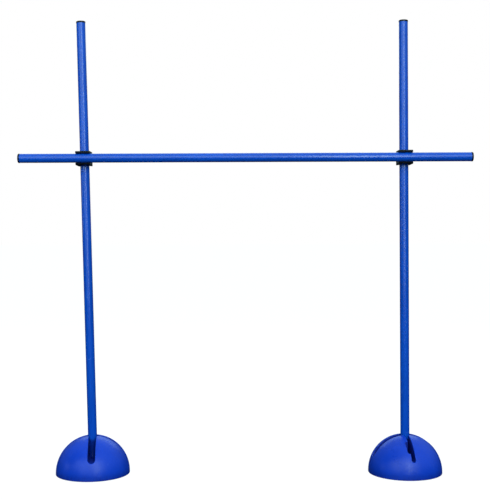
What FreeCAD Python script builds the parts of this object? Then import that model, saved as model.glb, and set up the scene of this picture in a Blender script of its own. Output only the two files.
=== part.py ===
import FreeCAD, Part
import Sketcher
import math
import os

# Agility hurdle: two half-ball bases stand on the floor, a pole is plugged into each, and a third pole
# lies across them in two double clips. Lengths are in millimetres and angles in degrees.
# X runs along the bar, -Y is the side that the bar is clipped to, Z is up. The origin is on the floor
# under the middle of the bar.

SIDES = ("left", "right")

# alias, value, meaning
DIMENSIONS = (
    ("pole_diameter", 24.0, "outer diameter of the three equal poles"),
    ("tube_wall", 1.5, "wall of a pole's tube"),
    ("pole_length", 1200.0, "length of a pole over its two end caps"),
    ("cap_head", 4.5, "height of an end cap's head"),
    ("cap_diameter", 24.8, "diameter of an end cap's head"),
    ("cap_round", 1.6, "rounding of the head's outer edge"),
    ("cap_stem", 14.0, "length of the cap's stem inside the tube"),
    ("cap_stem_wall", 2.0, "wall of the hollow stem"),
    ("cap_stem_gap", 0.5, "gap between the stem and the tube between the ribs"),
    ("cap_rib", 1.6, "height of one of the stem's two gripping ribs"),
    ("dome_radius", 98.0, "outer radius of the half ball"),
    ("dome_skirt", 3.5, "straight part of the dome's wall under the half ball"),
    ("dome_lift", 1.0, "height of the dome's lower edge, which the foot ring holds off the floor"),
    ("dome_wall", 2.5, "wall of the dome, of its slots and of its socket"),
    ("edge_round", 1.0, "rounding of the dome's lower edge"),
    ("lip_round", 1.5, "rounding of the rims of the slots, their recesses and the socket"),
    ("slot_floor", 45.5, "height of the lowest point of both slots"),
    ("wide_slot", 19.4, "width of the wide slot"),
    ("narrow_slot", 9.8, "width of the narrow slot"),
    ("recess_start", 43.5, "distance of the narrow slot's side recess from the dome's axis"),
    ("recess_end", 73.5, "distance of the recess's far end from the dome's axis"),
    ("recess_reach", 12.5, "distance of the recess's wall from the narrow slot's middle plane"),
    ("recess_corner", 3.5, "bevel of the recess's two corners"),
    ("recess_floor", 58.0, "height of the recess's floor"),
    ("socket_floor", 6.0, "height of the floor of the pole socket"),
    ("socket_radius", 13.8, "radius of the loose pole socket"),
    ("plate_thickness", 2.5, "thickness of the base plate"),
    ("plate_gap", 0.1, "gap between the base plate and the dome's wall"),
    ("seal_gap", 0.1, "room between the plug's O-ring and the faces around it"),
    ("ring_radius", 84.0, "mean radius of the rubber foot ring"),
    ("ring_width", 8.0, "width of the foot ring"),
    ("ring_height", 2.0, "height of the foot ring, half of it in its groove"),
    ("ring_round", 0.6, "rounding of the foot ring's lower edges"),
    ("filler_x", 34.0, "place of the filler plug, between two of the slots' arms"),
    ("filler_y", 34.0, "place of the filler plug, between two of the slots' arms"),
    ("filler_round", 38.0, "outer diameter of the filler's boss"),
    ("filler_boss", 3.5, "height of the boss above the base plate"),
    ("filler_recess", 31.0, "diameter of the recess for the plug's flange"),
    ("filler_neck", 30.0, "outer diameter of the filler's neck"),
    ("filler_neck_rise", 6.0, "height of the neck above the boss"),
    ("filler_bore", 22.2, "bore of the filler's neck"),
    ("plug_flange", 30.0, "diameter of the plug's flange"),
    ("plug_flange_height", 2.0, "thickness of the plug's flange"),
    ("plug_inset", 0.8, "height of the plug's underside above the dome's lower edge"),
    ("plug_barrel", 22.0, "diameter of the plug's barrel"),
    ("plug_barrel_wall", 2.0, "wall of the plug's hollow barrel"),
    ("lug_width", 5.0, "width of the plug's two locking lugs"),
    ("lug_height", 2.5, "height of the locking lugs"),
    ("lug_span", 26.0, "distance over the two lugs"),
    ("lug_gap", 0.3, "gap around the lugs in the neck's keyways and above its end"),
    ("coin_slot_width", 3.0, "width of the coin slot in the plug's underside"),
    ("coin_slot_length", 20.0, "length of the coin slot"),
    ("coin_slot_depth", 1.2, "depth of the coin slot"),
    ("seal_section", 1.9, "thickness of the plug's O-ring"),
    ("seal_radius", 13.0, "mean radius of the plug's O-ring"),
    ("fill_level", 62.0, "height of the surface of the ballast"),
    ("fill_gap", 0.2, "gap between the ballast and the walls around it"),
    ("clip_width", 37.0, "width of a clip along the bar"),
    ("clip_height", 37.0, "height of a clip along its pole"),
    ("clip_front", 39.0, "distance of a clip's front from the pole's axis"),
    ("clip_back", 17.0, "distance of a clip's back from the pole's axis"),
    ("clip_front_round", 6.0, "rounding of a clip's upper and lower front edges"),
    ("clip_back_round", 3.0, "rounding of a clip's back corners"),
    ("bar_offset", 27.0, "distance of the bar's axis from the poles' axes"),
    ("pole_seat_radius", 12.1, "radius of the clip's seat for the pole"),
    ("bar_seat_radius", 12.5, "radius of the clip's seat for the bar"),
    ("pole_wrap", 25.0, "angle by which the seat goes on past the pole's widest point"),
    ("bar_wrap", 19.0, "angle by which the seat goes on past the bar's widest point"),
    ("mouth_flare", 2.6, "how much wider each side of a seat's mouth is at the clip's face"),
    ("bar_height", 840.6, "height of the bar's axis above the floor"),
    ("left_base_x", -411.3, "place of the left base along the bar"),
    ("right_base_x", 424.2, "place of the right base along the bar"),
    ("left_lean", 1.29, "lean of the left pole in its loose socket, top towards -X"),
    ("right_lean", 0.15, "lean of the right pole in its loose socket, top towards -X"),
    ("left_foot_shift", 1.2, "how far the left pole's foot stands from its socket's axis, towards +X"),
    ("right_foot_shift", 0.2, "how far the right pole's foot stands from its socket's axis, towards +X"),
    ("left_turn", 6.0, "turn of the left base about the vertical"),
    ("right_turn", 96.0, "turn of the right base about the vertical"),
    ("pole_rest_gap", 0.3, "gap between a pole's lower cap and the floor of its socket"),
    ("cut_margin", 2.0, "how far a cutting shape runs past what it cuts"),
)

# heights worked out from the driving dimensions, as expressions for the features
BALL_CENTRE = "(Sizes.dome_lift + Sizes.dome_skirt)"
DOME_TOP = f"({BALL_CENTRE} + Sizes.dome_radius)"
ABOVE_DOME = f"({DOME_TOP} + Sizes.cut_margin)"
PLATE_TOP = "(Sizes.dome_lift + Sizes.plate_thickness)"
BOSS_TOP = f"({PLATE_TOP} + Sizes.filler_boss)"
NECK_TOP = f"({BOSS_TOP} + Sizes.filler_neck_rise)"
FLANGE_BOTTOM = "(Sizes.dome_lift + Sizes.plug_inset)"
FLANGE_TOP = f"({FLANGE_BOTTOM} + Sizes.plug_flange_height)"
RECESS_TOP = f"({FLANGE_TOP} + Sizes.seal_section + Sizes.seal_gap)"
LUG_BOTTOM = f"({NECK_TOP} + Sizes.lug_gap)"
LUG_TOP = f"({LUG_BOTTOM} + Sizes.lug_height)"
TUBE_BORE = "(Sizes.pole_diameter / 2 - Sizes.tube_wall)"
STEM_RADIUS = f"({TUBE_BORE} - Sizes.cap_stem_gap)"

# the heights of the cap's two ribs, as shares of the stem's length from the head
RIB_PLACES = (0.3, 0.7)

# tolerances for picking edges and for telling whether a cut takes something away
LENGTH_TOLERANCE = 1e-4
RIM_TOLERANCE = 1e-2
ANGLE_TOLERANCE = 1e-6
LEAST_CUT = 0.01
EDGE_SAMPLES = 7

Vector = FreeCAD.Vector
Placement = FreeCAD.Placement
Rotation = FreeCAD.Rotation
X_AXIS = Vector(1, 0, 0)
Y_AXIS = Vector(0, 1, 0)
Z_AXIS = Vector(0, 0, 1)
UPRIGHT = Rotation()

doc = FreeCAD.newDocument("agility_hurdle")
sheet = doc.addObject("Spreadsheet::Sheet", "Sizes")
for row, (alias, value, meaning) in enumerate(DIMENSIONS, start=1):
    sheet.set(f"A{row}", alias)
    sheet.set(f"B{row}", str(value))
    sheet.set(f"C{row}", meaning)
    sheet.setAlias(f"B{row}", alias)
doc.recompute()

nodes = []


def size(expression):
    """The value, in millimetres or degrees, of an expression in the sheet's aliases."""
    value = sheet.evalExpression(expression)
    return float(getattr(value, "Value", value))


def add_node(shape_object, label, placement):
    """Names a finished sub-part and puts it in its place."""
    shape_object.Label = label
    shape_object.Placement = placement
    nodes.append(shape_object)


# ---------------------------------------------------------------- sketches

def new_sketch(body, name, plane, height="0"):
    """An empty sketch on one of the body's own origin planes, raised along the plane's normal."""
    sketch = body.newObject("Sketcher::SketchObject", name)
    origin_plane = next(feature for feature in body.Origin.OriginFeatures if feature.Role == plane)
    sketch.AttachmentSupport = [(origin_plane, "")]
    sketch.MapMode = "FlatFace"
    sketch.setExpression(".AttachmentOffset.Base.z", height)
    sketch.Visibility = False
    return sketch


def bind(sketch, kind, *arguments):
    """Adds a constraint whose last argument is an expression that keeps on driving it."""
    *places, expression = arguments
    index = sketch.addConstraint(Sketcher.Constraint(kind, *places, size(expression)))
    sketch.setExpression(f"Constraints[{index}]", expression)


def hold_point(sketch, curve, point, x, y):
    """Holds a point of a curve at the place that two expressions give."""
    for kind, expression, axis in (("DistanceX", x, -2), ("DistanceY", y, -1)):
        if abs(size(expression)) < LENGTH_TOLERANCE:
            sketch.addConstraint(Sketcher.Constraint("PointOnObject", curve, point, axis))
        else:
            bind(sketch, kind, -1, 1, curve, point, expression)


def draw_circle(sketch, radius, x="0", y="0"):
    centre = Vector(size(x), size(y), 0)
    curve = sketch.addGeometry(Part.Circle(centre, Z_AXIS, size(radius)), False)
    bind(sketch, "Radius", curve, radius)
    hold_point(sketch, curve, 3, x, y)


def draw_polygon(sketch, corners):
    """A closed polygon through corners that are pairs of expressions."""
    places = [Vector(size(x), size(y), 0) for x, y in corners]
    curves = []
    for start, end, (x, y) in zip(places, places[1:] + places[:1], corners):
        curves.append(sketch.addGeometry(Part.LineSegment(start, end), False))
        hold_point(sketch, curves[-1], 1, x, y)
    for curve, following in zip(curves, curves[1:] + curves[:1]):
        sketch.addConstraint(Sketcher.Constraint("Coincident", curve, 2, following, 1))


def draw_box(sketch, low_x, high_x, low_y, high_y):
    draw_polygon(sketch, ((low_x, low_y), (high_x, low_y), (high_x, high_y), (low_x, high_y)))


def draw_half_ball(sketch, radius, bottom):
    """Half of the dome's section: a floor line, a straight wall, a quarter circle and the axis."""
    low, centre, reach = size(bottom), size(BALL_CENTRE), size(radius)
    middle = Vector(0, centre, 0)
    floor = sketch.addGeometry(Part.LineSegment(Vector(0, low, 0), Vector(reach, low, 0)), False)
    wall = sketch.addGeometry(Part.LineSegment(Vector(reach, low, 0), Vector(reach, centre, 0)), False)
    ball = Part.ArcOfCircle(Part.Circle(middle, Z_AXIS, reach), 0, math.pi / 2)
    arc = sketch.addGeometry(ball, False)
    top = Vector(0, centre + reach, 0)
    axis = sketch.addGeometry(Part.LineSegment(top, Vector(0, low, 0)), False)
    hold_point(sketch, floor, 1, "0", bottom)
    hold_point(sketch, floor, 2, radius, bottom)
    hold_point(sketch, arc, 3, "0", BALL_CENTRE)
    sketch.addConstraint(Sketcher.Constraint("Coincident", floor, 2, wall, 1))
    sketch.addConstraint(Sketcher.Constraint("Coincident", wall, 2, arc, 1))
    sketch.addConstraint(Sketcher.Constraint("Coincident", arc, 2, axis, 1))
    sketch.addConstraint(Sketcher.Constraint("Coincident", axis, 2, floor, 1))
    hold_point(sketch, wall, 2, radius, BALL_CENTRE)
    sketch.addConstraint(Sketcher.Constraint("PointOnObject", arc, 2, -2))


# ---------------------------------------------------------------- features

def new_body(name):
    return doc.addObject("PartDesign::Body", name)


def pad(body, sketch, length, reverse=False, both=False):
    feature = body.newObject("PartDesign::Pad", sketch.Name + "_pad")
    feature.Profile = sketch
    feature.Reversed = reverse
    feature.Midplane = both
    feature.setExpression("Length", length)


def pocket(body, sketch, length, reverse=False, both=False):
    """A pocket that has to take material away: against the sketch's normal, or along it if reversed."""
    doc.recompute()
    before = body.Shape.Volume
    feature = body.newObject("PartDesign::Pocket", sketch.Name + "_pocket")
    feature.Profile = sketch
    feature.Reversed = reverse
    feature.Midplane = both
    feature.setExpression("Length", length)
    doc.recompute()
    if not body.Shape.Volume < before - LEAST_CUT:
        raise RuntimeError(f"{feature.Name} takes nothing away")


def turn(body, sketch):
    """Turns a section about the sketch's vertical axis."""
    feature = body.newObject("PartDesign::Revolution", sketch.Name + "_turned")
    feature.Profile = sketch
    feature.ReferenceAxis = (sketch, ["V_Axis"])
    feature.Angle = 360


def fillet(body, name, radius, wanted):
    """Rounds the edges of the body for which wanted(edge) is true."""
    doc.recompute()
    base = body.Tip
    edges = [f"Edge{i}" for i, edge in enumerate(base.Shape.Edges, start=1) if wanted(edge)]
    feature = body.newObject("PartDesign::Fillet", name)
    feature.Base = (base, edges)
    feature.setExpression("Radius", radius)


def runs_along(edge, axis):
    """True for a straight edge that is parallel to an axis."""
    if not isinstance(edge.Curve, Part.Line):
        return False
    return abs(abs(edge.Curve.Direction.dot(axis)) - 1) < ANGLE_TOLERANCE


def points_of(edge):
    """Points spread along an edge from end to end."""
    start, end = edge.ParameterRange
    step = (end - start) / (EDGE_SAMPLES - 1)
    return [edge.valueAt(start + step * number) for number in range(EDGE_SAMPLES)]


def lies_at(edge, axis, place):
    """True if the whole edge lies in the plane square to an axis at a place along it."""
    return all(abs(point.dot(axis) - place) < LENGTH_TOLERANCE for point in points_of(edge))


def lies_on_ball(edge):
    """True for the rims of the slots, recesses and socket in the dome's outer surface."""
    centre = Vector(0, 0, size(BALL_CENTRE))
    reach = size("Sizes.dome_radius")
    floor = size("Sizes.slot_floor")
    return all(
        abs(point.distanceToPoint(centre) - reach) < RIM_TOLERANCE and point.z > floor - RIM_TOLERANCE
        for point in points_of(edge)
    )


# ---------------------------------------------------------------- poles

def make_tube(name):
    """The tube of a pole: it stands on its lower end's cap, with the pole's own end at the origin."""
    body = new_body(name)
    section = new_sketch(body, name + "_section", "XY_Plane", "Sizes.cap_head")
    draw_circle(section, "Sizes.pole_diameter / 2")
    draw_circle(section, TUBE_BORE)
    pad(body, section, "Sizes.pole_length - 2 * Sizes.cap_head")
    return body


def make_cap(name):
    """An end cap: a low rounded head on the tube's end and a hollow ribbed stem inside the tube."""
    body = new_body(name)
    head = new_sketch(body, name + "_head", "XY_Plane")
    draw_circle(head, "Sizes.cap_diameter / 2")
    pad(body, head, "Sizes.cap_head")
    top = size("Sizes.cap_head")
    fillet(body, name + "_round", "Sizes.cap_round", lambda edge: lies_at(edge, Z_AXIS, top))
    stem = new_sketch(body, name + "_stem", "XY_Plane")
    draw_circle(stem, STEM_RADIUS)
    pad(body, stem, "Sizes.cap_stem", reverse=True)
    for number, share in enumerate(RIB_PLACES, start=1):
        rib = new_sketch(body, f"{name}_rib{number}", "XY_Plane", f"-(Sizes.cap_stem * {share})")
        draw_circle(rib, TUBE_BORE)
        pad(body, rib, "Sizes.cap_rib", both=True)
    hollow = new_sketch(body, name + "_hollow", "XY_Plane", "-Sizes.cap_stem")
    draw_circle(hollow, f"{STEM_RADIUS} - Sizes.cap_stem_wall")
    pocket(body, hollow, "Sizes.cap_stem", reverse=True)
    return body


def add_pole(name, low_cap, high_cap, frame):
    """A tube and its two end caps. The frame's origin is one end of the pole, its +Z the pole's axis."""
    add_node(make_tube(name), name, frame)
    length = size("Sizes.pole_length")
    head = size("Sizes.cap_head")
    low_place = Placement(Vector(0, 0, head), Rotation(X_AXIS, 180))
    high_place = Placement(Vector(0, 0, length - head), UPRIGHT)
    add_node(make_cap(low_cap), low_cap, frame * low_place)
    add_node(make_cap(high_cap), high_cap, frame * high_place)


def upright_frame(side):
    """Where an upright stands: its lower end in the socket, its axis leaning by the socket's play."""
    lean = size(f"Sizes.{side}_lean")
    edge = size("Sizes.cap_diameter / 2 - Sizes.cap_round")
    tilted_edge_drop = edge * math.sin(math.radians(lean))
    height = size("Sizes.socket_floor + Sizes.pole_rest_gap") + tilted_edge_drop
    foot = Vector(size(f"Sizes.{side}_base_x + Sizes.{side}_foot_shift"), 0, height)
    return Placement(foot, Rotation(Y_AXIS, -lean))


# ---------------------------------------------------------------- clips

def seat_mouth(centre, radius, wrap, face, towards):
    """The four corners of a seat's mouth, as (along the mouth, across it) pairs of expressions.

    It starts where the round seat ends, wrap degrees past the widest point, and flares to the face.
    Towards is 1 for a mouth that opens to the back and -1 for one that opens in front.
    """
    start = f"({centre} + {towards} * {radius} * sin({wrap}))"
    half = f"({radius} * cos({wrap}))"
    outside = f"({towards} * ({face} + Sizes.cut_margin))"
    wide = f"({half} + Sizes.mouth_flare)"
    return ((start, f"-{half}"), (start, half), (outside, wide), (outside, f"-{wide}"))


def make_clip(name):
    """A double clip: a seat for the pole, open to the back, and one across it for the bar, open to -Y."""
    body = new_body(name)
    half = "Sizes.clip_width / 2"
    block = new_sketch(body, name + "_block", "XY_Plane")
    draw_box(block, f"-{half}", half, "-Sizes.clip_front", "Sizes.clip_back")
    pad(body, block, "Sizes.clip_height", both=True)

    def is_back_corner(edge):
        return runs_along(edge, Z_AXIS) and lies_at(edge, Y_AXIS, size("Sizes.clip_back"))

    def is_front_edge(edge):
        return runs_along(edge, X_AXIS) and lies_at(edge, Y_AXIS, -size("Sizes.clip_front"))

    fillet(body, name + "_back_round", "Sizes.clip_back_round", is_back_corner)
    fillet(body, name + "_front_round", "Sizes.clip_front_round", is_front_edge)

    pole_seat = new_sketch(body, name + "_pole_seat", "XY_Plane")
    draw_circle(pole_seat, "Sizes.pole_seat_radius")
    pocket(body, pole_seat, "Sizes.clip_height + Sizes.cut_margin", both=True)
    pole_mouth = new_sketch(body, name + "_pole_mouth", "XY_Plane")
    corners = seat_mouth("0", "Sizes.pole_seat_radius", "Sizes.pole_wrap", "Sizes.clip_back", 1)
    draw_polygon(pole_mouth, [(across, along) for along, across in corners])
    pocket(body, pole_mouth, "Sizes.clip_height + Sizes.cut_margin", both=True)

    bar_seat = new_sketch(body, name + "_bar_seat", "YZ_Plane")
    draw_circle(bar_seat, "Sizes.bar_seat_radius", "-Sizes.bar_offset")
    pocket(body, bar_seat, "Sizes.clip_width + Sizes.cut_margin", both=True)
    bar_mouth = new_sketch(body, name + "_bar_mouth", "YZ_Plane")
    centre = "-Sizes.bar_offset"
    corners = seat_mouth(centre, "Sizes.bar_seat_radius", "Sizes.bar_wrap", "Sizes.clip_front", -1)
    draw_polygon(bar_mouth, corners)
    pocket(body, bar_mouth, "Sizes.clip_width + Sizes.cut_margin", both=True)
    return body


def clip_place(side):
    """A clip sits square on its pole, at the height that puts its bar seat at the bar's height."""
    frame = upright_frame(side)
    lean = math.radians(size(f"Sizes.{side}_lean"))
    along_pole = (size("Sizes.bar_height") - frame.Base.z) / math.cos(lean)
    return frame * Placement(Vector(0, 0, along_pole), UPRIGHT)


# ---------------------------------------------------------------- bases

def make_dome_form(name, inset, bottom):
    """A half ball with two crossing slots, the narrow one's recesses and the pole's socket.

    Every wall is moved into the material by the inset: with none this is the outside of the dome, and
    with the wall's thickness it is the hollow inside.
    """
    body = new_body(name)
    section = new_sketch(body, name + "_section", "XZ_Plane")
    draw_half_ball(section, f"Sizes.dome_radius - {inset}", bottom)
    turn(body, section)
    across = "2 * Sizes.dome_radius + Sizes.cut_margin"
    for slot, plane in (("wide", "XZ_Plane"), ("narrow", "YZ_Plane")):
        width = f"Sizes.{slot}_slot"
        half = f"({width} / 2 + {inset})"
        round_centre = f"(Sizes.slot_floor + {width} / 2)"
        sides = new_sketch(body, f"{name}_{slot}", plane)
        draw_box(sides, f"-{half}", half, round_centre, ABOVE_DOME)
        pocket(body, sides, across, both=True)
        floor = new_sketch(body, f"{name}_{slot}_floor", plane)
        draw_circle(floor, half, "0", round_centre)
        pocket(body, floor, across, both=True)
    recesses = new_sketch(body, name + "_recesses", "XY_Plane", ABOVE_DOME)
    wall = f"(Sizes.recess_reach + {inset})"
    near_wall = f"({wall} - Sizes.recess_corner)"
    start = f"(Sizes.recess_start - {inset})"
    end = f"(Sizes.recess_end + {inset})"
    for arm in ("-", ""):
        corners = (
            (f"{arm}{start}", "0"),
            (f"{arm}{start}", near_wall),
            (f"{arm}({start} + Sizes.recess_corner)", wall),
            (f"{arm}({end} - Sizes.recess_corner)", wall),
            (f"{arm}{end}", near_wall),
            (f"{arm}{end}", "0"),
        )
        draw_polygon(recesses, corners)
    pocket(body, recesses, f"{ABOVE_DOME} - (Sizes.recess_floor - {inset})")
    socket = new_sketch(body, name + "_socket", "XY_Plane", ABOVE_DOME)
    draw_circle(socket, f"Sizes.socket_radius + {inset}")
    pocket(body, socket, f"{ABOVE_DOME} - (Sizes.socket_floor - {inset})")
    return body


def make_dome_shell(name):
    """The hollow dome: its outside form less the hollow, which is open below for the base plate."""
    outside = make_dome_form(name + "_outside", "0", "Sizes.dome_lift")
    fillet(outside, name + "_lips", "Sizes.lip_round", lies_on_ball)
    lower_edge = size("Sizes.dome_lift")
    fillet(outside, name + "_edge", "Sizes.edge_round", lambda edge: lies_at(edge, Z_AXIS, lower_edge))
    hollow = make_dome_form(name + "_hollow", "Sizes.dome_wall", "(Sizes.dome_lift - Sizes.cut_margin)")
    shell = doc.addObject("Part::Cut", name)
    shell.Base = outside
    shell.Tool = hollow
    return shell


def make_base_plate(name):
    """The disc that closes the dome, with a groove for the foot ring and a neck for the filler plug."""
    body = new_body(name)
    disc = new_sketch(body, name + "_disc", "XY_Plane", "Sizes.dome_lift")
    draw_circle(disc, "Sizes.dome_radius - Sizes.dome_wall - Sizes.plate_gap")
    pad(body, disc, "Sizes.plate_thickness")
    boss = new_sketch(body, name + "_boss", "XY_Plane", PLATE_TOP)
    draw_circle(boss, "Sizes.filler_round / 2", "Sizes.filler_x", "Sizes.filler_y")
    pad(body, boss, "Sizes.filler_boss")
    neck = new_sketch(body, name + "_neck", "XY_Plane", BOSS_TOP)
    draw_circle(neck, "Sizes.filler_neck / 2", "Sizes.filler_x", "Sizes.filler_y")
    pad(body, neck, "Sizes.filler_neck_rise")
    recess = new_sketch(body, name + "_recess", "XY_Plane", "Sizes.dome_lift")
    draw_circle(recess, "Sizes.filler_recess / 2", "Sizes.filler_x", "Sizes.filler_y")
    pocket(body, recess, f"{RECESS_TOP} - Sizes.dome_lift", reverse=True)
    bore = new_sketch(body, name + "_bore", "XY_Plane", NECK_TOP)
    draw_circle(bore, "Sizes.filler_bore / 2", "Sizes.filler_x", "Sizes.filler_y")
    pocket(body, bore, f"{NECK_TOP} - Sizes.dome_lift")
    keyways = new_sketch(body, name + "_keyways", "XY_Plane", NECK_TOP)
    reach = "(Sizes.lug_span / 2 + Sizes.lug_gap)"
    half = "(Sizes.lug_width / 2 + Sizes.lug_gap)"
    draw_box(
        keyways,
        f"Sizes.filler_x - {half}",
        f"Sizes.filler_x + {half}",
        f"Sizes.filler_y - {reach}",
        f"Sizes.filler_y + {reach}",
    )
    pocket(body, keyways, f"{NECK_TOP} - Sizes.dome_lift")
    groove = new_sketch(body, name + "_groove", "XY_Plane", "Sizes.dome_lift")
    draw_circle(groove, "Sizes.ring_radius + Sizes.ring_width / 2 + Sizes.plate_gap")
    draw_circle(groove, "Sizes.ring_radius - Sizes.ring_width / 2 - Sizes.plate_gap")
    pocket(body, groove, "Sizes.ring_height - Sizes.dome_lift", reverse=True)
    return body


def make_foot_ring(name):
    """The rubber ring that the base stands on."""
    body = new_body(name)
    section = new_sketch(body, name + "_section", "XY_Plane")
    draw_circle(section, "Sizes.ring_radius + Sizes.ring_width / 2")
    draw_circle(section, "Sizes.ring_radius - Sizes.ring_width / 2")
    pad(body, section, "Sizes.ring_height")
    fillet(body, name + "_round", "Sizes.ring_round", lambda edge: lies_at(edge, Z_AXIS, 0))
    return body


def make_filler_plug(name):
    """The quarter-turn plug about its own axis: a flange, a hollow barrel and two lugs over the neck."""
    body = new_body(name)
    flange = new_sketch(body, name + "_flange", "XY_Plane", FLANGE_BOTTOM)
    draw_circle(flange, "Sizes.plug_flange / 2")
    pad(body, flange, "Sizes.plug_flange_height")
    barrel = new_sketch(body, name + "_barrel", "XY_Plane", FLANGE_TOP)
    draw_circle(barrel, "Sizes.plug_barrel / 2")
    pad(body, barrel, f"{LUG_TOP} - {FLANGE_TOP}")
    lugs = new_sketch(body, name + "_lugs", "XY_Plane", LUG_BOTTOM)
    reach = "Sizes.lug_span / 2"
    half = "Sizes.lug_width / 2"
    draw_box(lugs, f"-{reach}", reach, f"-{half}", half)
    pad(body, lugs, "Sizes.lug_height")
    hollow = new_sketch(body, name + "_hollow", "XY_Plane", LUG_TOP)
    draw_circle(hollow, "Sizes.plug_barrel / 2 - Sizes.plug_barrel_wall")
    pocket(body, hollow, f"{LUG_TOP} - {FLANGE_TOP} - Sizes.plug_barrel_wall")
    coin_slot = new_sketch(body, name + "_coin_slot", "XY_Plane", FLANGE_BOTTOM)
    draw_box(
        coin_slot,
        "-Sizes.coin_slot_length / 2",
        "Sizes.coin_slot_length / 2",
        "-Sizes.coin_slot_width / 2",
        "Sizes.coin_slot_width / 2",
    )
    pocket(body, coin_slot, "Sizes.coin_slot_depth", reverse=True)
    return body


def make_plug_seal(name):
    """The O-ring between the plug's flange and the roof of its recess."""
    seal = doc.addObject("Part::Torus", name)
    seal.setExpression("Radius1", "Sizes.seal_radius")
    seal.setExpression("Radius2", "Sizes.seal_section / 2")
    return seal


def make_ballast(name):
    """The fill of the dome: the hollow inside, up to the fill's level, clear of the filler's neck."""
    inset = "(Sizes.dome_wall + Sizes.fill_gap)"
    floor = f"({PLATE_TOP} + Sizes.fill_gap)"
    inside = make_dome_form(name + "_inside", inset, floor)
    above = doc.addObject("Part::Cylinder", name + "_above")
    above.setExpression("Radius", "Sizes.dome_radius")
    above.setExpression("Height", "Sizes.dome_radius")
    above.setExpression("Placement.Base.z", "Sizes.fill_level")
    around_neck = doc.addObject("Part::Cylinder", name + "_around_neck")
    around_neck.setExpression("Radius", "Sizes.filler_round / 2 + Sizes.fill_gap")
    around_neck.setExpression("Height", f"{LUG_TOP} + Sizes.fill_gap")
    around_neck.setExpression("Placement.Base.x", "Sizes.filler_x")
    around_neck.setExpression("Placement.Base.y", "Sizes.filler_y")
    taken_away = doc.addObject("Part::Fuse", name + "_taken_away")
    taken_away.Base = above
    taken_away.Tool = around_neck
    fill = doc.addObject("Part::Cut", name)
    fill.Base = inside
    fill.Tool = taken_away
    return fill


def add_base(side):
    place = Vector(size(f"Sizes.{side}_base_x"), 0, 0)
    frame = Placement(place, Rotation(Z_AXIS, size(f"Sizes.{side}_turn")))
    add_node(make_dome_shell(f"{side}_dome_shell"), f"{side}_dome_shell", frame)
    add_node(make_base_plate(f"{side}_base_plate"), f"{side}_base_plate", frame)
    add_node(make_foot_ring(f"{side}_foot_ring"), f"{side}_foot_ring", frame)
    add_node(make_ballast(f"{side}_ballast"), f"{side}_ballast", frame)
    filler = Vector(size("Sizes.filler_x"), size("Sizes.filler_y"), 0)
    plug_frame = frame * Placement(filler, UPRIGHT)
    add_node(make_filler_plug(f"{side}_filler_plug"), f"{side}_filler_plug", plug_frame)
    seal_height = size(f"({FLANGE_TOP} + {RECESS_TOP}) / 2")
    seal_frame = plug_frame * Placement(Vector(0, 0, seal_height), UPRIGHT)
    add_node(make_plug_seal(f"{side}_plug_seal"), f"{side}_plug_seal", seal_frame)


for side in SIDES:
    add_base(side)
    upright = f"{side}_upright"
    add_pole(f"{upright}_tube", f"{upright}_bottom_cap", f"{upright}_top_cap", upright_frame(side))
    add_node(make_clip(f"{side}_bar_clip"), f"{side}_bar_clip", clip_place(side))

bar_end = Vector(-size("Sizes.pole_length") / 2, -size("Sizes.bar_offset"), size("Sizes.bar_height"))
bar_frame = Placement(bar_end, Rotation(Y_AXIS, 90))
add_pole("crossbar_tube", "crossbar_left_cap", "crossbar_right_cap", bar_frame)

doc.recompute()

for item in doc.Objects:
    if "Invalid" in item.State or "Error" in item.State:
        raise RuntimeError(f"{item.Label} has failed: {item.State}")
for node in nodes:
    if node.Shape.isNull() or not node.Shape.isValid() or len(node.Shape.Solids) != 1:
        raise RuntimeError(f"{node.Label} is not one valid solid")

os.makedirs("parts", exist_ok=True)
for node in nodes:
    node.Shape.exportStep(f"parts/{node.Label}.step")
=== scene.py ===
import math

import bmesh
import bpy
from mathutils import Matrix, Vector


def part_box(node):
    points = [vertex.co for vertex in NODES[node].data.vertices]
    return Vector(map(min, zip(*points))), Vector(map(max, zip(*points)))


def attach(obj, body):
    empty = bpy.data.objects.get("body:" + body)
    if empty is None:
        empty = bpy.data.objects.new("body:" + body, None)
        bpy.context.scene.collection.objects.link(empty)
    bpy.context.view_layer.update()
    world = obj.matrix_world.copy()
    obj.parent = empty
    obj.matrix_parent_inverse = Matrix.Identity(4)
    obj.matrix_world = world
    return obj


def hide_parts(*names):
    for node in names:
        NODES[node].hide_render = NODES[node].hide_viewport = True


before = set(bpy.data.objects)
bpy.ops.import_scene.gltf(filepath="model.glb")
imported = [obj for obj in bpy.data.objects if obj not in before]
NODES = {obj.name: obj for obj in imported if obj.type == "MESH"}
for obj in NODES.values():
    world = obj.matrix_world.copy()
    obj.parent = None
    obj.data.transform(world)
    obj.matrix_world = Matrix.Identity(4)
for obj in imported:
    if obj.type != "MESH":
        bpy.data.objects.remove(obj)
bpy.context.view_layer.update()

SIDES = ("left", "right")


def rgba(red, green, blue):
    return (red, green, blue, 1.0)


# Colours, linear. Of each pair, the first is the material's darker patches and the second its lighter ones.
TUBE_BLUE = rgba(0.002, 0.057, 0.445), rgba(0.003, 0.081, 0.560)
TUBE_RUBBED = rgba(0.03, 0.12, 0.62)
TUBE_SCRATCHED = rgba(0.06, 0.17, 0.60)
# Painted shade: the deep navy that a pole is darkened to inside its socket
TUBE_PAINTED_SOCKET_SHADE = rgba(0.001, 0.012, 0.200)
DOME_BLUE = rgba(0.002, 0.038, 0.460), rgba(0.003, 0.049, 0.560)
DOME_SCRATCHED = rgba(0.05, 0.12, 0.60)
# Painted shade: the deep navy of the slot and socket walls
DOME_PAINTED_SLOT_SHADE = rgba(0.001, 0.010, 0.210)
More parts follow.
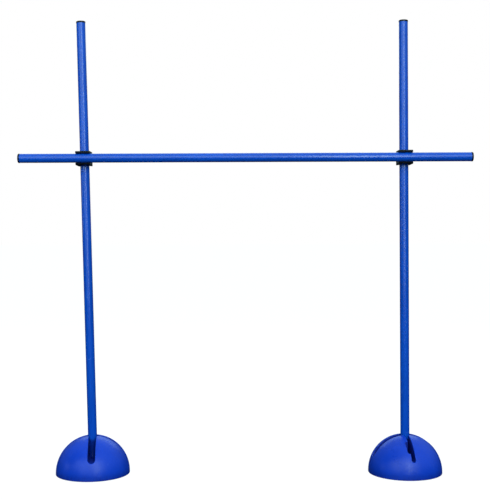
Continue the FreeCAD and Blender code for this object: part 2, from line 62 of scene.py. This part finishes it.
# Painted shade: the dark navy that the lower edge of a dome is darkened to
DOME_PAINTED_GROUND_SHADE = rgba(0.003, 0.013, 0.200)
RUBBER_BLACK = rgba(0.013, 0.013, 0.013)
RUBBER_DUST = rgba(0.07, 0.068, 0.062)
WATER_BLUE = rgba(0.30, 0.42, 0.50), rgba(0.36, 0.50, 0.58)
BLACK_DARK, BLACK_LIGHT, BLACK_RUBBED = 0.0020, 0.0042, 0.018
WHITE = rgba(1.0, 1.0, 1.0)

# The middle band of a noise value, which is spread over a material's whole range
NOISE_LOW, NOISE_HIGH = 0.3, 0.7

# How far a texture is drawn out along a pole: the smaller, the longer its marks
LONG_MARKS, SHORT_MARKS, ACROSS = 0.02, 0.25, 1.0

# How strongly each kind of surface mirrors the light: the shader's specular level
TUBE_GLOSS, DOME_GLOSS, BLACK_GLOSS, FLOOR_GLOSS = 0.42, 0.25, 0.2, 0.0

# Metres on the object
SOCKET_MOUTH = 0.097
# How far below the socket mouth the painted shade on a pole fades in
SOCKET_SHADE_FADE = 0.010
BALL_RADIUS = 0.098
BALL_CENTRE_HEIGHT = 0.0045
# Distances from the ball's centre over which the painted shade on the slot and socket walls fades in
WALL_STARTS, WALL_ENDS = BALL_RADIUS - 0.0003, BALL_RADIUS - 0.0020
# Heights over which the painted shade at a dome's lower edge grows, from nothing at the top to full at the
# foot
GROUND_SHADE_TOP, GROUND_SHADE_FOOT = 0.022, 0.001
WELD_DISTANCE = 0.000001
EASED_EDGE = 0.0003

# Degrees between faces
FLAT_ANGLE = 1
BEVEL_ANGLE = 35
SMOOTH_ANGLE = 40

# The floor: half its side in metres, its grey, and how much it shines by itself
FLOOR_HALF = 80.0
FLOOR_GREY = rgba(0.16, 0.16, 0.16)
FLOOR_GLOW = 0.92

# The light's tints, the sky's brightness in each of its regions, and the ways to those regions
LAMP_TINT = (0.75, 1.0, 1.0)
SKY_TINT = (0.68, 0.97, 1.0)
SKY_BELOW = 0.10
SKY_BACK = 0.28
SKY_FRONT = 0.95
SKY_PATCH = 0.30
BRIGHT_WAY = (0.20, -0.25, 0.95)
UP_WAY = (0, 0, 1)
PATCH_WAY = (-0.70, -0.45, 0.55)

# Name, place and target in metres, width and height in metres, radiance, tint
LIGHTS = (
    ("high_window", (-1.40, -3.00, 2.35), (-1.40, 0, 2.05), 8.0, 2.3, 2.15, SKY_TINT),
    ("low_window", (0.00, -3.00, 0.70), (0.00, 0, 0.70), 5.0, 1.0, 1.0, SKY_TINT),
    ("key", (0.65, -2.85, 1.35), (0.1, 0, 0.7), 0.5, 1.9, 6.0, LAMP_TINT),
    ("partner", (-1.60, -2.80, 0.95), (0, 0, 0.4), 0.4, 0.6, 3.0, LAMP_TINT),
    ("side", (-4.20, -0.60, 0.90), (0, 0, 0.4), 0.8, 0.6, 3.0, LAMP_TINT),
    ("back_window", (0.00, 3.20, 2.30), (0, 0, 0.5), 4.0, 1.4, 1.6, SKY_TINT),
)

# The camera, in millimetres, metres and degrees
SENSOR_WIDTH, LENS = 36.0, 68.2
CAMERA_PLACE = (0.0002, -2.529, 0.631)
CAMERA_DOWN, CAMERA_ASIDE, CAMERA_ROLL = 0.785, -0.053, -0.207


# ---------------------------------------------------------------- node helpers

class Graph:
    """A small wrapper that builds one material's node tree, or adds to a tree that it is given."""

    def __init__(self, name="", tree=None):
        if tree:
            self.tree = tree
            return
        self.material = bpy.data.materials.new(name)
        self.material.use_nodes = True
        self.tree = self.material.node_tree
        self.tree.nodes.clear()
        self.output = self.tree.nodes.new("ShaderNodeOutputMaterial")
        self.shader = self.tree.nodes.new("ShaderNodeBsdfPrincipled")
        self.link(self.shader.outputs[0], self.output.inputs["Surface"])
        coordinates = self.tree.nodes.new("ShaderNodeTexCoord")
        self.place = coordinates.outputs["Object"]

    def link(self, source, target):
        self.tree.links.new(source, target)

    def feed(self, target, value):
        """Sets a socket to a number or a colour, or links another node's output to it."""
        if isinstance(value, bpy.types.NodeSocket):
            self.link(value, target)
        else:
            target.default_value = value

    def scaled(self, scale):
        """The object's coordinates stretched by a factor on each axis."""
        mapping = self.tree.nodes.new("ShaderNodeMapping")
        self.link(self.place, mapping.inputs["Vector"])
        mapping.inputs["Scale"].default_value = scale
        return mapping.outputs[0]

    def noise(self, scale, detail=3.0, roughness=0.5, stretch=None):
        """Smooth noise with about scale waves to the metre."""
        node = self.tree.nodes.new("ShaderNodeTexNoise")
        self.link(self.scaled(stretch) if stretch else self.place, node.inputs["Vector"])
        node.inputs["Scale"].default_value = scale
        node.inputs["Detail"].default_value = detail
        node.inputs["Roughness"].default_value = roughness
        return node.outputs["Fac"]

    def cells(self, scale):
        """A grain of round cells, about scale of them to the metre."""
        node = self.tree.nodes.new("ShaderNodeTexVoronoi")
        self.link(self.place, node.inputs["Vector"])
        node.inputs["Scale"].default_value = scale
        return node.outputs["Distance"]

    def hairlines(self, scale, width, stretch=None):
        """Thin scattered scratches: patches of the lines where a smooth noise takes its middle value."""
        smooth = self.noise(scale, detail=0.0, roughness=0.5, stretch=stretch)
        off_line = self.math("ABSOLUTE", self.math("SUBTRACT", smooth, 0.5))
        lines = self.spread(off_line, 0.0, width, 1.0, 0.0)
        patches = self.spread(self.noise(scale * 0.6, detail=2.0), 0.52, 0.62)
        return self.math("MULTIPLY", lines, patches)

    def spread(self, value, low, high, to_low=0.0, to_high=1.0):
        """Maps low..high of a value to to_low..to_high, held at the ends."""
        node = self.tree.nodes.new("ShaderNodeMapRange")
        node.interpolation_type = "SMOOTHSTEP"
        self.feed(node.inputs["Value"], value)
        node.inputs["From Min"].default_value = low
        node.inputs["From Max"].default_value = high
        node.inputs["To Min"].default_value = to_low
        node.inputs["To Max"].default_value = to_high
        return node.outputs["Result"]

    def patches(self, noise, to_low=0.0, to_high=1.0):
        """Turns a noise into soft patches that run from one value to another."""
        return self.spread(noise, NOISE_LOW, NOISE_HIGH, to_low, to_high)

    def math(self, operation, *values):
        node = self.tree.nodes.new("ShaderNodeMath")
        node.operation = operation
        for socket, value in zip(node.inputs, values):
            self.feed(socket, value)
        return node.outputs[0]

    def mix(self, share, first, second):
        node = self.tree.nodes.new("ShaderNodeMix")
        node.data_type = "RGBA"
        self.feed(node.inputs["Factor"], share)
        self.feed(node.inputs["A"], first)
        self.feed(node.inputs["B"], second)
        return node.outputs["Result"]

    def axis(self, name):
        node = self.tree.nodes.new("ShaderNodeSeparateXYZ")
        self.link(self.place, node.inputs[0])
        return node.outputs[name]

    def bump(self, layers):
        """Stacks bumps, each a (height, strength, distance) triple, on the shader's normal."""
        normal = None
        for height, strength, distance in layers:
            node = self.tree.nodes.new("ShaderNodeBump")
            node.inputs["Strength"].default_value = strength
            node.inputs["Distance"].default_value = distance
            self.feed(node.inputs["Height"], height)
            if normal:
                self.link(normal, node.inputs["Normal"])
            normal = node.outputs[0]
        self.link(normal, self.shader.inputs["Normal"])

    def specular(self, level):
        self.shader.inputs["Specular IOR Level"].default_value = level

    def set(self, **values):
        for name, value in values.items():
            self.feed(self.shader.inputs[name.replace("_", " ")], value)


# ---------------------------------------------------------------- materials

def tube_plastic(name, lengthwise, foot=0.0):
    """Extruded blue plastic: fine draw lines along the pole, a slight waviness, scratches and rub marks.
    Below the height of the foot, where it stands in the socket, its colour is darkened by a painted shade."""
    graph = Graph(name)
    along = tuple(LONG_MARKS if axis == lengthwise else ACROSS for axis in "XYZ")
    partly_along = tuple(SHORT_MARKS if axis == lengthwise else ACROSS for axis in "XYZ")
    draw_lines = graph.noise(900.0, detail=2.0, roughness=0.6, stretch=along)
    clouds = graph.noise(9.0, detail=3.0, roughness=0.55)
    streaks = graph.noise(420.0, detail=4.0, roughness=0.65, stretch=along)
    rubbed = graph.spread(graph.noise(60.0, detail=5.0, roughness=0.7, stretch=along), 0.60, 0.78)
    scratched = graph.hairlines(55.0, width=0.008, stretch=partly_along)
    waves = graph.noise(45.0, detail=2.0, roughness=0.5)
    grain = graph.noise(2200.0, detail=2.0, roughness=0.5)
    shade = graph.math("ADD", graph.patches(clouds, 0.0, 0.5), graph.patches(streaks, 0.0, 0.5))
    blue = graph.mix(shade, *TUBE_BLUE)
    worn = graph.mix(graph.math("MULTIPLY", rubbed, 0.25), blue, TUBE_RUBBED)
    worn = graph.mix(graph.math("MULTIPLY", scratched, 0.35), worn, TUBE_SCRATCHED)
    # Painted shade: below the socket mouth the colour is darkened towards a deep navy
    if foot:
        painted_socket_shade = graph.spread(graph.axis("Z"), foot, foot - SOCKET_SHADE_FADE, 0.0, 0.8)
        worn = graph.mix(painted_socket_shade, worn, TUBE_PAINTED_SOCKET_SHADE)
    graph.set(Base_Color=worn)
    rough = graph.math("MULTIPLY_ADD", rubbed, 0.10, graph.patches(clouds, 0.15, 0.20))
    graph.set(Roughness=graph.math("MULTIPLY_ADD", scratched, 0.15, rough))
    graph.specular(TUBE_GLOSS)
    graph.bump((
        (draw_lines, 0.06, 0.0004),
        (waves, 0.06, 0.0015),
        (grain, 0.03, 0.0002),
        (scratched, 0.15, -0.0002),
    ))
    return graph.material


def dome_plastic(name, base):
    """Moulded blue plastic with a fine grain and soft flow clouds. The slots' and the socket's walls are
    rougher and darkened to a deep navy by painted shade, and the lower edge is darkened towards the ground
    by a speckled painted shade."""
    graph = Graph(name)
    low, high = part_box(base)
    ball_centre = ((low.x + high.x) / 2, (low.y + high.y) / 2, BALL_CENTRE_HEIGHT)
    from_centre = graph.tree.nodes.new("ShaderNodeVectorMath")
    from_centre.operation = "DISTANCE"
    graph.link(graph.place, from_centre.inputs[0])
    from_centre.inputs[1].default_value = ball_centre
    # Mask of the slot and socket walls, inside the ball's surface: painted shade and extra roughness go
    # there
    inside = graph.spread(from_centre.outputs["Value"], WALL_ENDS, WALL_STARTS, 1.0, 0.0)
    clouds = graph.noise(14.0, detail=4.0, roughness=0.55)
    splashes = graph.noise(240.0, detail=6.0, roughness=0.75, stretch=(1.0, 1.0, 0.35))
    specks = graph.spread(splashes, 0.42, 0.70)
    # Painted shade along the lower edge: darker towards the ground, broken up by specks
    near_ground = graph.spread(graph.axis("Z"), GROUND_SHADE_TOP, GROUND_SHADE_FOOT)
    ground_shade = graph.math("MULTIPLY", near_ground, graph.math("MULTIPLY_ADD", specks, 0.5, 0.5))
    mottle = graph.noise(310.0, detail=4.0, roughness=0.7)
    outside = graph.math("SUBTRACT", 1.0, inside)
    scratched = graph.math("MULTIPLY", graph.hairlines(70.0, width=0.010), outside)
    grain = graph.noise(900.0, detail=3.0, roughness=0.6)
    waves = graph.noise(24.0, detail=2.0, roughness=0.5)
    shade = graph.math("ADD", graph.patches(clouds, 0.0, 0.6), graph.patches(mottle, 0.0, 0.4))
    blue = graph.mix(shade, *DOME_BLUE)
    blue = graph.mix(graph.math("MULTIPLY", scratched, 0.30), blue, DOME_SCRATCHED)
    # Painted shade: the slot and socket walls are darkened to a deep navy
    with_slot_shade = graph.mix(graph.math("MULTIPLY", inside, 0.85), blue, DOME_PAINTED_SLOT_SHADE)
    # Painted shade near the ground goes over the rest of the colour
    graph.set(Base_Color=graph.mix(graph.math("MULTIPLY", ground_shade, 0.8), with_slot_shade, DOME_PAINTED_GROUND_SHADE))
    rough = graph.math("ADD", graph.patches(clouds, 0.27, 0.34), graph.math("MULTIPLY", ground_shade, 0.15))
    graph.set(Roughness=graph.math("ADD", rough, graph.math("MULTIPLY", inside, 0.25)))
    graph.specular(DOME_GLOSS)
    graph.bump((
        (graph.cells(1500.0), 0.14, 0.0002),
        (grain, 0.15, 0.0003),
        (waves, 0.12, 0.0025),
        (scratched, 0.25, -0.0002),
    ))
    return graph.material


def black_plastic(name, roughness, grain, lightness=1.0):
    """Moulded black plastic: a fine spark-eroded grain and slight greying where it is handled."""
    graph = Graph(name)
    clouds = graph.noise(70.0, detail=4.0, roughness=0.6)
    worn = graph.spread(graph.noise(420.0, detail=5.0, roughness=0.7), 0.60, 0.76)
    darker, lighter, rubbed = (lightness * grey for grey in (BLACK_DARK, BLACK_LIGHT, BLACK_RUBBED))
    black = graph.mix(graph.patches(clouds), rgba(darker, darker, darker * 1.25),
                      rgba(lighter, lighter, lighter * 1.15))
    greyed = graph.mix(graph.math("MULTIPLY", worn, 0.3), black, rgba(rubbed, rubbed, rubbed * 1.1))
    graph.set(Base_Color=greyed)
    graph.specular(BLACK_GLOSS)
    graph.set(Roughness=graph.patches(clouds, roughness - 0.04, roughness + 0.06))
    graph.bump((
        (graph.cells(grain), 0.18, 0.0002),
        (graph.noise(grain * 0.5, detail=3.0, roughness=0.6), 0.12, 0.0003),
    ))
    return graph.material


def rubber(name):
    """Matt black rubber with a fine tooth and a little dust."""
    graph = Graph(name)
    dust = graph.spread(graph.noise(190.0, detail=6.0, roughness=0.7), 0.52, 0.75)
    graph.set(Base_Color=graph.mix(graph.math("MULTIPLY", dust, 0.3), RUBBER_BLACK, RUBBER_DUST))
    graph.set(Roughness=graph.spread(dust, 0.0, 1.0, 0.72, 0.88))
    graph.bump((
        (graph.cells(900.0), 0.3, 0.0003),
        (graph.noise(2400.0, detail=2.0, roughness=0.5), 0.15, 0.0002),
    ))
    return graph.material


def water(name):
    """The fill inside a base, which the closed dome hides."""
    graph = Graph(name)
    ripples = graph.noise(60.0, detail=3.0, roughness=0.5)
    graph.set(Base_Color=graph.mix(graph.patches(ripples), *WATER_BLUE))
    graph.set(Roughness=graph.patches(ripples, 0.05, 0.12))
    graph.bump(((ripples, 0.1, 0.001),))
    return graph.material


def paint(node_name, material):
    """Gives a whole CAD node one material."""
    data = NODES[node_name].data
    data.materials.clear()
    data.materials.append(material)
    for polygon in data.polygons:
        polygon.material_index = 0


# The uprights carry the painted socket shade below the socket mouth
upright_blue = tube_plastic("upright_blue", "Z", foot=SOCKET_MOUTH)
bar_blue = tube_plastic("bar_blue", "X")
cap_black = black_plastic("cap_black", roughness=0.38, grain=1500.0)
clip_black = black_plastic("clip_black", roughness=0.44, grain=1100.0)
plate_black = black_plastic("plate_black", roughness=0.50, grain=700.0, lightness=12.0)
plug_black = black_plastic("plug_black", roughness=0.42, grain=900.0, lightness=18.0)
ring_rubber = rubber("ring_rubber")
seal_rubber = rubber("seal_rubber")
fill_water = water("fill_water")

for side in SIDES:
    paint(f"{side}_dome_shell", dome_plastic(f"{side}_dome_blue", f"{side}_dome_shell"))
    paint(f"{side}_base_plate", plate_black)
    paint(f"{side}_foot_ring", ring_rubber)
    paint(f"{side}_ballast", fill_water)
    paint(f"{side}_filler_plug", plug_black)
    paint(f"{side}_plug_seal", seal_rubber)
    paint(f"{side}_upright_tube", upright_blue)
    paint(f"{side}_upright_bottom_cap", cap_black)
    paint(f"{side}_upright_top_cap", cap_black)
    paint(f"{side}_bar_clip", clip_black)
    paint(f"crossbar_{side}_cap", cap_black)
paint("crossbar_tube", bar_blue)


# ---------------------------------------------------------------- bevelled clips

def eased(node_name, body):
    """A copy of a CAD piece with a small bevel along its sharp edges, which stands for that piece."""
    source = NODES[node_name]
    mesh = source.data.copy()
    shape = bmesh.new()
    shape.from_mesh(mesh)
    bmesh.ops.remove_doubles(shape, verts=shape.verts, dist=WELD_DISTANCE)
    bmesh.ops.dissolve_limit(shape, angle_limit=math.radians(FLAT_ANGLE), verts=shape.verts,
                             edges=shape.edges)
    sharp = [edge for edge in shape.edges
             if edge.is_manifold and edge.calc_face_angle() > math.radians(BEVEL_ANGLE)]
    bmesh.ops.bevel(shape, geom=sharp, offset=EASED_EDGE, offset_type="OFFSET", segments=2, profile=0.5,
                    affect="EDGES", clamp_overlap=True)
    bmesh.ops.triangulate(shape, faces=[face for face in shape.faces if len(face.verts) > 4])
    shape.to_mesh(mesh)
    shape.free()
    for polygon in mesh.polygons:
        polygon.use_smooth = True
    mesh.set_sharp_from_angle(angle=math.radians(SMOOTH_ANGLE))
    piece = bpy.data.objects.new(f"{node_name}_eased", mesh)
    bpy.context.scene.collection.objects.link(piece)
    piece.matrix_world = source.matrix_world.copy()
    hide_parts(node_name)
    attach(piece, body)


for side in SIDES:
    eased(f"{side}_bar_clip", f"{side}_clip")


# ---------------------------------------------------------------- stage, light and camera

def pale_floor():
    """A plain pale floor that shows the bases' soft shadows."""
    mesh = bpy.data.meshes.new("floor")
    corners = [(-FLOOR_HALF, -FLOOR_HALF, 0), (FLOOR_HALF, -FLOOR_HALF, 0),
               (FLOOR_HALF, FLOOR_HALF, 0), (-FLOOR_HALF, FLOOR_HALF, 0)]
    mesh.from_pydata(corners, [], [(0, 1, 2, 3)])
    floor = bpy.data.objects.new("floor", mesh)
    bpy.context.scene.collection.objects.link(floor)
    graph = Graph("floor_white")
    graph.set(Base_Color=FLOOR_GREY, Roughness=0.9)
    graph.specular(FLOOR_GLOSS)
    graph.set(Emission_Color=WHITE, Emission_Strength=FLOOR_GLOW)
    mesh.materials.append(graph.material)
    floor.visible_glossy = False
    floor.visible_diffuse = False


def softbox(name, place, target, width, height, radiance, tint):
    """A rectangular light of even brightness that faces its target."""
    data = bpy.data.lights.new(name, "AREA")
    data.shape = "RECTANGLE"
    data.size = width
    data.size_y = height
    data.energy = radiance * math.pi * width * height
    data.color = tint
    lamp = bpy.data.objects.new(name, data)
    lamp.location = place
    lamp.rotation_euler = (Vector(target) - Vector(place)).to_track_quat("-Z", "Y").to_euler()
    bpy.context.scene.collection.objects.link(lamp)


def towards(tree, direction, way):
    """How far a ray's direction leans to a fixed way, from -1 to 1."""
    node = tree.nodes.new("ShaderNodeVectorMath")
    node.operation = "DOT_PRODUCT"
    tree.links.new(direction, node.inputs[0])
    node.inputs[1].default_value = Vector(way).normalized()
    return node.outputs["Value"]


def studio_world():
    """White to the eye. The object gets a soft dome of light that is brightest overhead, a little to the
    front and the right, dark below the horizon and dim in one patch high on the left."""
    world = bpy.data.worlds.new("studio")
    world.use_nodes = True
    tree = world.node_tree
    tree.nodes.clear()
    graph = Graph(tree=tree)
    direction = tree.nodes.new("ShaderNodeTexCoord").outputs["Generated"]
    front = graph.spread(towards(tree, direction, BRIGHT_WAY), 0.10, 0.90, SKY_BACK, SKY_FRONT)
    above = graph.spread(towards(tree, direction, UP_WAY), -0.05, 0.30, SKY_BELOW, 1.0)
    patch = graph.spread(towards(tree, direction, PATCH_WAY), 0.75, 0.95, 1.0, SKY_PATCH)
    strength = graph.math("MULTIPLY", graph.math("MULTIPLY", front, above), patch)

    output = tree.nodes.new("ShaderNodeOutputWorld")
    seen = tree.nodes.new("ShaderNodeBackground")
    seen.inputs["Color"].default_value = WHITE
    shining = tree.nodes.new("ShaderNodeBackground")
    shining.inputs["Color"].default_value = rgba(*SKY_TINT)
    graph.link(strength, shining.inputs["Strength"])
    path = tree.nodes.new("ShaderNodeLightPath")
    mix = tree.nodes.new("ShaderNodeMixShader")
    graph.link(path.outputs["Is Camera Ray"], mix.inputs[0])
    graph.link(shining.outputs[0], mix.inputs[1])
    graph.link(seen.outputs[0], mix.inputs[2])
    graph.link(mix.outputs[0], output.inputs["Surface"])
    bpy.context.scene.world = world


def photo_camera():
    """Straight in front of the hurdle at half its height, turned by less than a degree on each axis."""
    data = bpy.data.cameras.new("camera")
    data.sensor_width = SENSOR_WIDTH
    data.lens = LENS
    camera = bpy.data.objects.new("camera", data)
    down, aside, roll = (math.radians(angle) for angle in (CAMERA_DOWN, CAMERA_ASIDE, CAMERA_ROLL))
    turned = Matrix.Rotation(-aside, 4, "Z") @ Matrix.Rotation(math.pi / 2 - down, 4, "X")
    camera.matrix_world = Matrix.Translation(CAMERA_PLACE) @ turned @ Matrix.Rotation(roll, 4, "Z")
    bpy.context.scene.collection.objects.link(camera)
    bpy.context.scene.camera = camera


pale_floor()
studio_world()
for light in LIGHTS:
    softbox(*light)
photo_camera()
bpy.context.scene.view_settings.view_transform = "Standard"
